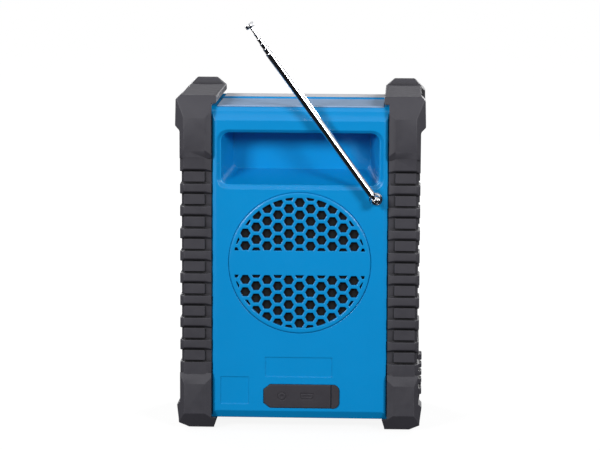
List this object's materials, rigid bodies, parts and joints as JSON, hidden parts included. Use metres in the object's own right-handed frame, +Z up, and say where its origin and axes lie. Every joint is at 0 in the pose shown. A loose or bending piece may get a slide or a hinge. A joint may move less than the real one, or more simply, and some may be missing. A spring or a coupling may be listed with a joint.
{
  "type": "jobsite radio",
  "caption": "Upright portable radio with rubber side bumpers, a handle pocket, round honeycomb grilles and a telescopic antenna on its rear.",
  "frame": {"origin": "on the floor, midway between the four foot pads and between the casing's front and rear faces", "axes": "+Z up, -Y towards the front with the controls, +Y towards the rear with the handle pocket and antenna, +X to the right seen from the front"},
  "size_m": [0.19, 0.1363, 0.3135],
  "materials": {
    "shell_blue": "semi-gloss moulded ABS",
    "bumper_grey": "satin over-moulded elastomer",
    "cover_rubber": "matt rubber",
    "foot_rubber": "matt rubber",
    "trim_grey": "satin silver-grey plastic",
    "panel_black": "fine spark-eroded texture",
    "inner_black": "plain moulded plastic",
    "knob_black": "satin",
    "key_grey": "satin",
    "chrome": "polished chrome plate",
    "steel": "zinc-plated or stamped steel",
    "magnet": "sintered ferrite and blackened plate",
    "board": "solder-masked circuit board",
    "cloth": "black acoustic cloth",
    "cone_paper": "pressed paper cone",
    "surround_rubber": "soft rubber roll",
    "window": "clear hard-coated window",
    "display": "liquid-crystal module",
    "pack_grey": "moulded battery case",
    "contact": "plated spring contacts"
  },
  "bodies": {
    "body": {"rear_shell": "shell_blue", "rear_grille": "shell_blue", "front_shell": "shell_blue", "front_grille": "panel_black", "grille_cloths": "cloth", "top_trim_rear": "trim_grey", "top_trim_front": "trim_grey", "shell_gasket": "foot_rubber", "casing_screws": "steel", "bumper_left": "bumper_grey", "bumper_right": "bumper_grey", "bumper_screws": "steel", "foot_pads": "foot_rubber", "port_flap_anchor": "cover_rubber", "port_board": "board", "power_socket": "inner_black", "usb_socket": "steel", "sound_socket": "inner_black", "control_panel": "panel_black", "display_window": "window", "lcd_module": "display", "control_board": "board", "key_switches": "inner_black", "volume_encoder": "steel", "tuning_encoder": "steel", "main_board": "board", "subwoofer_basket": "magnet", "subwoofer_cone": "cone_paper", "subwoofer_surround": "surround_rubber", "subwoofer_magnet": "magnet", "speaker_basket": "magnet", "speaker_cone": "cone_paper", "speaker_surround": "surround_rubber", "speaker_magnet": "magnet", "driver_screws": "steel", "battery_tray": "inner_black", "battery_pack": "pack_grey", "battery_contacts": "contact", "battery_door_pin": "steel"},
    "swivel": {"antenna_yoke": "chrome", "antenna_nut": "steel", "antenna_pin": "steel"},
    "mast_1": {"antenna_tube_1": "chrome"},
    "mast_2": {"antenna_tube_2": "chrome"},
    "mast_3": {"antenna_tube_3": "chrome"},
    "mast_4": {"antenna_tube_4": "chrome"},
    "mast_5": {"antenna_tube_5": "chrome"},
    "mast_6": {"antenna_rod": "chrome", "antenna_tip": "chrome"},
    "cover": {"port_flap": "cover_rubber"},
    "door": {"battery_door": "bumper_grey"},
    "volume": {"volume_knob": "knob_black", "volume_shaft": "steel"},
    "tuning": {"tuning_knob": "knob_black", "tuning_shaft": "steel"},
    "power": {"power_key": "key_grey"},
    "mode": {"mode_key": "key_grey"},
    "preset_1": {"preset_key_1": "key_grey"},
    "preset_2": {"preset_key_2": "key_grey"},
    "preset_3": {"preset_key_3": "key_grey"}
  },
  "joints": [
    {"name": "antenna_swivel", "type": "hinge", "parent": "body", "child": "swivel", "pos_m": [-0.0576, 0.066, 0.1792], "axis": [0, 1, 0], "range_deg": [-200, 144]},
    {"name": "antenna_tilt", "type": "hinge", "parent": "swivel", "child": "mast_1", "pos_m": [-0.0576, 0.066, 0.1792], "axis": [-0.809, 0, 0.5878], "range_deg": [0, 90]},
    {"name": "antenna_extend_2", "type": "slide", "parent": "mast_1", "child": "mast_2", "axis": [0.5878, 0, 0.809], "range_m": [0, 0.115]},
    {"name": "antenna_extend_3", "type": "slide", "parent": "mast_2", "child": "mast_3", "axis": [0.5878, 0, 0.809], "range_m": [0, 0.115]},
    {"name": "antenna_extend_4", "type": "slide", "parent": "mast_3", "child": "mast_4", "axis": [0.5878, 0, 0.809], "range_m": [0, 0.115]},
    {"name": "antenna_extend_5", "type": "slide", "parent": "mast_4", "child": "mast_5", "axis": [0.5878, 0, 0.809], "range_m": [0, 0.115]},
    {"name": "antenna_extend_6", "type": "slide", "parent": "mast_5", "child": "mast_6", "axis": [0.5878, 0, 0.809], "range_m": [0, 0.115]},
    {"name": "port_flap_hinge", "type": "hinge", "parent": "body", "child": "cover", "pos_m": [-0.0246, 0.057, 0.0262], "axis": [0, 0, 1], "range_deg": [0, 120]},
    {"name": "battery_door_hinge", "type": "hinge", "parent": "body", "child": "door", "pos_m": [-0.0892, -0.0289, 0.039], "axis": [0, 0, 1], "range_deg": [0, 105]},
    {"name": "volume_turn", "type": "hinge", "parent": "body", "child": "volume", "pos_m": [0.047, -0.06, 0.1758], "axis": [0, -1, 0], "continuous": true},
    {"name": "tuning_turn", "type": "hinge", "parent": "body", "child": "tuning", "pos_m": [-0.047, -0.06, 0.1758], "axis": [0, -1, 0], "continuous": true},
    {"name": "power_press", "type": "slide", "parent": "body", "child": "power", "axis": [0, 1, 0], "range_m": [0, 0.001], "stiffness_N_per_m": 350, "springref_m": -0.002},
    {"name": "mode_press", "type": "slide", "parent": "body", "child": "mode", "axis": [0, 1, 0], "range_m": [0, 0.001], "stiffness_N_per_m": 350, "springref_m": -0.002},
    {"name": "preset_1_press", "type": "slide", "parent": "body", "child": "preset_1", "axis": [0, 1, 0], "range_m": [0, 0.001], "stiffness_N_per_m": 350, "springref_m": -0.002},
    {"name": "preset_2_press", "type": "slide", "parent": "body", "child": "preset_2", "axis": [0, 1, 0], "range_m": [0, 0.001], "stiffness_N_per_m": 350, "springref_m": -0.002},
    {"name": "preset_3_press", "type": "slide", "parent": "body", "child": "preset_3", "axis": [0, 1, 0], "range_m": [0, 0.001], "stiffness_N_per_m": 350, "springref_m": -0.002}
  ]
}
